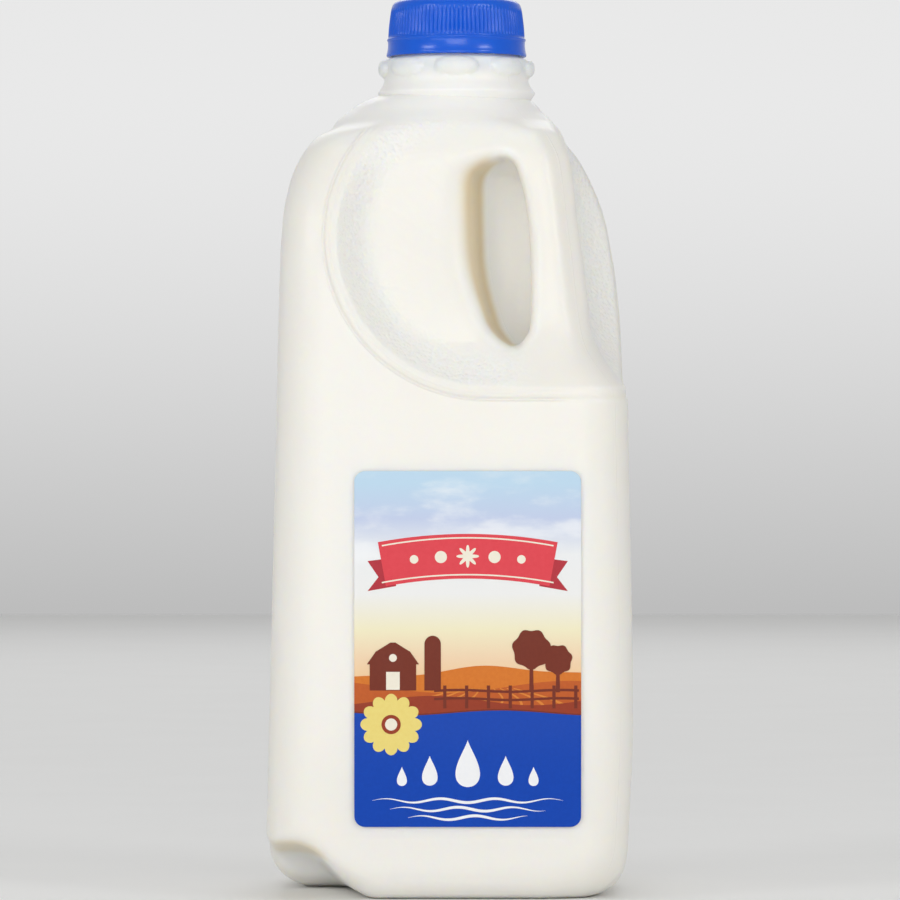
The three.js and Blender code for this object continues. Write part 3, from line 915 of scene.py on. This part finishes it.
class Print:
    """One colour of the label's print: its shapes are joined into one thin layer."""

    def __init__(self, name, tones, level):
        self.name = name
        self.material = ink_material(name, tones)
        self.middle = GAP + LABEL_THICKNESS + level * PRINT_STEP
        self.vertices = []
        self.faces = []

    def add(self, shape, place, *counts):
        """Adds a slab or disc, a hair above the one before it."""
        near = self.middle - PRINT_STEP / 2
        far = self.middle + PRINT_STEP / 2
        vertices, faces = shape(place, *counts, near, far)
        start = len(self.vertices)
        self.vertices += vertices
        self.faces += [tuple(start + k for k in face) for face in faces]
        self.middle += PRINT_LIFT

    def field(self, bottom, top):
        """A field of colour across the whole label, between two lines z = f(x)."""
        def place(u, v):
            x = lerp(LABEL_LEFT, LABEL_RIGHT, u)
            z = lerp(bottom(x), top(x), v * v)
            inset = label_edge(z)
            return min(max(x, LABEL_LEFT + inset), LABEL_RIGHT - inset), z
        self.add(slab, place, 96, 24)

    def blob(self, x, z, outline, turns=48):
        """A filled shape round a middle, where outline(angle) gives its reach each way."""
        def place(angle, reach):
            across, up = outline(angle)
            return x + across * reach, z + up * reach
        self.add(disc, place, turns)

    def stroke(self, line, width, steps=24):
        """A line of even or changing width along line(t), which gives x and z."""
        def place(u, v):
            x, z = line(u)
            ahead_x, ahead_z = line(u + 0.01)
            along = math.hypot(ahead_x - x, ahead_z - z)
            side = (v - 0.5) * width(u)
            return x - (ahead_z - z) / along * side, z + (ahead_x - x) / along * side
        self.add(slab, place, steps, 2)

    def panel(self, corners):
        """A four sided panel, from its corners in order round it."""
        def place(u, v):
            (ax, az), (bx, bz), (cx, cz), (dx, dz) = corners
            low = (lerp(ax, bx, u), lerp(az, bz, u))
            high = (lerp(dx, cx, u), lerp(dz, cz, u))
            return lerp(low[0], high[0], v), lerp(low[1], high[1], v)
        self.add(slab, place, 8, 4)

    def upright(self, x, half_foot, half_head, foot, head):
        """An upright panel about a middle line, with its half width at its foot and its head."""
        low = [(x - half_foot, foot), (x + half_foot, foot)]
        self.panel(low + [(x + half_head, head), (x - half_head, head)])

    def finish(self):
        piece = new_piece(self.name, self.vertices, self.faces, self.material, smooth=False)
        tidy = bmesh.new()
        tidy.from_mesh(piece.data)
        bmesh.ops.remove_doubles(tidy, verts=tidy.verts, dist=PRINT_LIFT * MM / 4)
        bmesh.ops.recalc_face_normals(tidy, faces=tidy.faces)
        tidy.to_mesh(piece.data)
        tidy.free()
        keep_sharp(piece, PRINT_CREASE)
        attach(piece, "root")


def ellipse(wide, tall):
    return lambda angle: (wide * math.cos(angle), tall * math.sin(angle))


def flower(size, share):
    """A round shape whose reach, as a share of its size, is given by share(angle)."""
    def outline(angle):
        reach = size * share(angle)
        return reach * math.cos(angle), reach * math.sin(angle)
    return outline


def crown(size):
    """The leafy top of a tree, a little taller than it is wide."""
    def outline(angle):
        reach = 1 + 0.06 * math.sin(7 * angle)
        return size * math.cos(angle) * reach, size * 1.05 * math.sin(angle) * reach
    return outline


def drop(size):
    """A drop with its point up."""
    def outline(angle):
        swell = math.sin(angle / 2 - math.pi / 4) ** 2
        return size * 0.75 * math.cos(angle) * swell ** 0.8, size * math.sin(angle)
    return outline


def make_fields():
    """Three fields, one in front of the other, with furrows between the last two."""
    far = Print("label_far_field", FAR_FIELD, 1)
    far.field(lambda x: FIELD_FOOT, lambda x: 64 + 1.5 * math.sin(x / 13 + 0.6) + 0.5 * math.sin(x / 5.1))
    middle = Print("label_middle_field", MIDDLE_FIELD, 2)
    middle.field(lambda x: FIELD_FOOT, lambda x: 60 + 1.7 * math.sin(x / 11 - 1.4))
    near = Print("label_near_field", NEAR_FIELD, 4)
    near.field(lambda x: FIELD_FOOT, lambda x: 56.2 + 1.3 * math.sin(x / 9 + 2.2))
    furrows = Print("label_furrows", FURROW, 3)
    for k in range(FURROW_COUNT):
        def line(t, foot=-24 + k * 7.2, head=2 + k * 1.9):
            x = lerp(foot, head, t) + 2.4 * math.sin(t * math.pi)
            return x, lerp(FURROW_FOOT, FURROW_HEAD, t)
        furrows.stroke(line, lambda t: lerp(0.9, 0.25, t))
    for layer in (far, middle, near, furrows):
        layer.finish()


def make_farm():
    """A barn with a silo on the left, two round trees on the right, and a rail fence."""
    timber = Print("label_timber", TIMBER, 5)
    barn = BARN_LEFT
    timber.panel([(barn, BARN_FOOT), (barn + 13, BARN_FOOT), (barn + 13, 66.5), (barn, 66.5)])
    timber.panel([(barn - 0.8, 66.3), (barn + 13.8, 66.3), (barn + 11.2, 70), (barn + 1.8, 70)])
    timber.panel([(barn + 1.8, 69.9), (barn + 11.2, 69.9), (barn + 7.2, 72.4), (barn + 5.8, 72.4)])
    silo = barn + 17.6
    timber.upright(silo, SILO_HALF, SILO_HALF, BARN_FOOT, 72)
    timber.blob(silo, 71.9, ellipse(SILO_HALF, 2.4))
    for x, z, size in TREES:
        timber.upright(x, 0.6, 0.4, TREE_FOOT, z)
        timber.blob(x, z, crown(size), 84)
    for k in range(FENCE_POSTS):
        timber.upright(-2 + k * FENCE_SPACING, 0.45, 0.45, FENCE_FOOT, FENCE_TOP)
    for rail in FENCE_RAILS:
        def line(t, rail=rail):
            return lerp(-5, LABEL_RIGHT - 0.6, t), rail + 0.25 * math.sin(t * 9)
        timber.stroke(line, lambda t: 0.7, 40)
    timber.finish()
    door = Print("label_barn_door", CREAM, 6)
    middle = barn + 6.5
    door.upright(middle, 1.9, 1.9, 59.2, 64.2)
    door.blob(middle, 68.1, ellipse(1.1, 1.1), 24)
    door.finish()


def make_ribbon():
    """A plain red ribbon across the sky, with folded ends, a thin cream line near each edge, and a
    small flower between dots."""
    def arch(x):
        return RIBBON_HEIGHT - (x - RIBBON_MIDDLE) ** 2 / 260

    ends = Print("label_ribbon_ends", FOLDED_RED, 1)
    for side in (-1, 1):
        inner = RIBBON_MIDDLE + side * (RIBBON_HALF - 4)
        outer = RIBBON_MIDDLE + side * (RIBBON_HALF + 4)
        notch = RIBBON_MIDDLE + side * (RIBBON_HALF + 0.8)
        low = arch(inner) - 3.2
        ends.panel([(inner, low - 3.6), (outer, low - 5), (notch, low - 0.9), (inner, low + 0.5)])
        ends.panel([(inner, low - 0.2), (notch, low - 1.3), (outer, low + 3.4), (inner, low + 4.4)])
    ends.finish()
    ribbon = Print("label_ribbon", RED, 3)

    def along(t):
        x = lerp(RIBBON_MIDDLE - RIBBON_HALF, RIBBON_MIDDLE + RIBBON_HALF, t)
        return x, arch(x)

    ribbon.stroke(along, lambda t: RIBBON_TALL, 48)
    ribbon.finish()
    lines = Print("label_ribbon_lines", CREAM, 4)
    for side in (-1, 1):
        def edge(t, side=side):
            x, z = along(t)
            return x, z + side * (RIBBON_TALL / 2 - 1.1)
        lines.stroke(edge, lambda t: 0.4, 48)
    eight_lobes = flower(3.2, lambda angle: 0.72 + 0.28 * math.cos(8 * angle))
    lines.blob(RIBBON_MIDDLE, RIBBON_HEIGHT, eight_lobes, 80)
    for side in (-1, 1):
        for k, size in ((1, 1.7), (2, 1.2)):
            x = RIBBON_MIDDLE + side * k * 7.5
            lines.blob(x, arch(x), ellipse(size, size), 32)
    lines.finish()


def make_daisy():
    """A pale flower of twelve petals over the band's edge, on the left."""
    petals = Print("label_daisy", YELLOW, 6)
    twelve_petals = flower(DAISY_SIZE, lambda angle: 0.8 + 0.2 * abs(math.cos(6 * angle)) ** 0.7)
    petals.blob(DAISY_X, DAISY_Z, twelve_petals, 144)
    petals.finish()
    rim = Print("label_daisy_middle", NEAR_FIELD, 7)
    rim.blob(DAISY_X, DAISY_Z, ellipse(2.7, 2.7), 40)
    rim.finish()
    heart = Print("label_daisy_heart", CREAM, 8)
    heart.blob(DAISY_X, DAISY_Z, ellipse(1.7, 1.7), 32)
    heart.finish()


def make_band():
    """The blue band at the foot, with a wavy brown line on its top edge, drops and waves."""
    def crest(x):
        return BAND_TOP + 0.7 * math.sin(x / 8.5)

    line = Print("label_band_line", TIMBER, 4.5)
    line.field(lambda x: crest(x) - 0.6, lambda x: crest(x) + 0.4)
    line.finish()
    band = Print("label_band", BAND, 5)
    band.field(lambda x: LABEL_BOTTOM, crest)
    band.finish()
    white = Print("label_drops", WHITE, 6)
    for x, z, size in DROPS:
        white.blob(x, z, drop(size), 64)
    for k in range(WAVE_COUNT):
        def wave(t, inset=5 + k * 5, low=28.2 - k * 2.4, turns=22 - k * 4):
            x = lerp(LABEL_LEFT + inset, LABEL_RIGHT - inset, t)
            return x, low + 0.55 * math.sin(t * turns)
        white.stroke(wave, lambda t: 0.75 * math.sin(math.pi * t) + 0.05, 96)
    white.finish()


def make_label():
    """The film, with rows that are closer together at its round corners, and the print on it."""
    rows = [LABEL_BOTTOM + LABEL_CORNER * (1 - math.cos(k / 8 * math.pi / 2)) for k in range(9)]
    rows += list(np.linspace(LABEL_BOTTOM + LABEL_CORNER, LABEL_TOP - LABEL_CORNER, 42)[1:-1])
    rows += [LABEL_TOP - LABEL_CORNER * (1 - math.sin(k / 8 * math.pi / 2)) for k in range(9)]

    def place(u, v):
        z = rows[round(v * (len(rows) - 1))]
        inset = label_edge(z)
        return lerp(LABEL_LEFT + inset, LABEL_RIGHT - inset, u), z

    vertices, faces = slab(place, 24, len(rows) - 1, GAP, GAP + LABEL_THICKNESS)
    piece = new_piece("label_sheet", vertices, faces, sky_material())
    keep_sharp(piece, FILM_CREASE)
    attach(piece, "root")
    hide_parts("label")
    make_fields()
    make_farm()
    make_ribbon()
    make_band()
    make_daisy()


def make_camera():
    data = bpy.data.cameras.new("camera")
    camera = bpy.data.objects.new("camera", data)
    bpy.context.scene.collection.objects.link(camera)
    camera.location = (CAMERA_SIDEWAYS, -CAMERA_DISTANCE, CAMERA_HEIGHT)
    camera.rotation_euler = (math.pi / 2, 0, 0)
    data.sensor_width = SENSOR_WIDTH
    data.lens = SENSOR_WIDTH * CAMERA_DISTANCE / VIEW_WIDTH
    bpy.context.scene.camera = camera


def make_floor():
    look = new_material("pale_floor")
    look.join(look.mix(look.noise(60, 3), *FLOOR_PAINT), "Base Color")
    look.set(roughness=0.7)
    far = FLOOR_HALF
    corners = [(-far, -far, 0), (far, -far, 0), (far, far, 0), (-far, far, 0)]
    floor = new_piece("floor", corners, [(0, 1, 2, 3)], look.material, smooth=False)


def area_light(name, place, target, size, power):
    data = bpy.data.lights.new(name, "AREA")
    data.shape = "RECTANGLE"
    data.size, data.size_y = size
    data.energy = power
    lamp = bpy.data.objects.new(name, data)
    bpy.context.scene.collection.objects.link(lamp)
    lamp.location = place
    direction = Vector(target) - Vector(place)
    lamp.rotation_euler = direction.to_track_quat("-Z", "Y").to_euler()


def make_world():
    """Soft light all round, with a paler wall far off in front of the jug and behind it."""
    world = bpy.data.worlds.new("studio")
    bpy.context.scene.world = world
    world.use_nodes = True
    look = Shading(world, "Background", "Generated")
    way = look.split()
    wall = look.math("POWER", way["Y"], WALL_NARROWING)
    wall = look.math("MULTIPLY", wall, look.ramp(way["Z"], WALL_FOOT, WALL_FULL))
    look.join(look.math("ADD", look.math("MULTIPLY", wall, WALL_LIGHT), ROOM_LIGHT), "Strength")
    look.set(color=(1, 1, 1, 1))


bpy.context.scene.view_settings.view_transform = "Standard"
make_camera()
make_jug(jug_material())
make_cap(cap_material())
make_label()
make_floor()
make_world()
for lamp in LIGHTS:
    area_light(*lamp)
